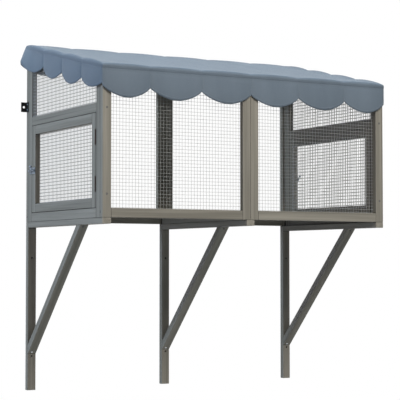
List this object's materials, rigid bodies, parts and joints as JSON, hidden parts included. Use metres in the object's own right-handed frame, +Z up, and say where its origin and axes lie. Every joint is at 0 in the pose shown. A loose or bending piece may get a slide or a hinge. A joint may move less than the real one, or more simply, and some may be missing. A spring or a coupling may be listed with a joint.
{
  "type": "window catio",
  "caption": "Timber and wire cat cage on wall brackets, open at the back to a window, with a side door at each end and a sloping cloth roof with a scalloped edge.",
  "frame": {"origin": "back of the middle leg, on the wall plane, midway between its two wall screws", "axes": "+Y into the wall, +Z up, +X to the right of someone facing the front"},
  "size_m": [1.2807, 0.7068, 1.3602],
  "materials": {
    "timber": "grey stain, planed",
    "wire": "galvanised wire",
    "cloth": "coated canvas, blue grey",
    "black_steel": "black powder coat",
    "zinc": "bright zinc"
  },
  "bodies": {
    "cage": {"cloth_roof": "cloth", "floor_board": "timber", "floor_joist": "timber", "front_left_bottom_rail": "timber", "front_left_inner_stile": "timber", "front_left_net": "wire", "front_left_outer_stile": "timber", "front_left_top_rail": "timber", "front_right_bottom_rail": "timber", "front_right_inner_stile": "timber", "front_right_net": "wire", "front_right_outer_stile": "timber", "front_right_top_rail": "timber", "left_arm": "timber", "left_bolt_keeper": "zinc", "left_brace": "timber", "left_leg": "timber", "left_lower_hinge_post_leaf": "black_steel", "left_side_bottom_rail": "timber", "left_side_front_stile": "timber", "left_side_middle_rail": "timber", "left_side_net": "wire", "left_side_rear_stile": "timber", "left_side_top_rail": "timber", "left_upper_hinge_post_leaf": "black_steel", "left_wall_plate": "black_steel", "middle_arm": "timber", "middle_brace": "timber", "middle_leg": "timber", "rear_bottom_rail": "timber", "rear_left_post": "timber", "rear_middle_post": "timber", "rear_right_post": "timber", "rear_top_rail": "timber", "right_arm": "timber", "right_bolt_keeper": "zinc", "right_brace": "timber", "right_leg": "timber", "right_lower_hinge_post_leaf": "black_steel", "right_side_bottom_rail": "timber", "right_side_front_stile": "timber", "right_side_middle_rail": "timber", "right_side_net": "wire", "right_side_rear_stile": "timber", "right_side_top_rail": "timber", "right_upper_hinge_post_leaf": "black_steel", "right_wall_plate": "black_steel", "roof_rafter": "timber"},
    "left_door": {"left_bolt_plate": "zinc", "left_door_frame": "timber", "left_door_net": "wire", "left_lower_hinge_door_leaf": "black_steel", "left_upper_hinge_door_leaf": "black_steel"},
    "right_door": {"right_bolt_plate": "zinc", "right_door_frame": "timber", "right_door_net": "wire", "right_lower_hinge_door_leaf": "black_steel", "right_upper_hinge_door_leaf": "black_steel"},
    "left_bolt": {"left_bolt": "zinc"},
    "right_bolt": {"right_bolt": "zinc"}
  },
  "joints": [
    {"name": "left_door_swing", "type": "hinge", "parent": "cage", "child": "left_door", "pos_m": [-0.6132, -0.6404, 0.37], "axis": [0, 0, 1], "range_deg": [0, 180]},
    {"name": "right_door_swing", "type": "hinge", "parent": "cage", "child": "right_door", "pos_m": [0.6132, -0.6404, 0.37], "axis": [0, 0, -1], "range_deg": [0, 180]},
    {"name": "left_bolt_slide", "type": "slide", "parent": "left_door", "child": "left_bolt", "axis": [0, 1, 0], "range_m": [0, 0.013]},
    {"name": "right_bolt_slide", "type": "slide", "parent": "right_door", "child": "right_bolt", "axis": [0, 1, 0], "range_m": [0, 0.013]}
  ]
}
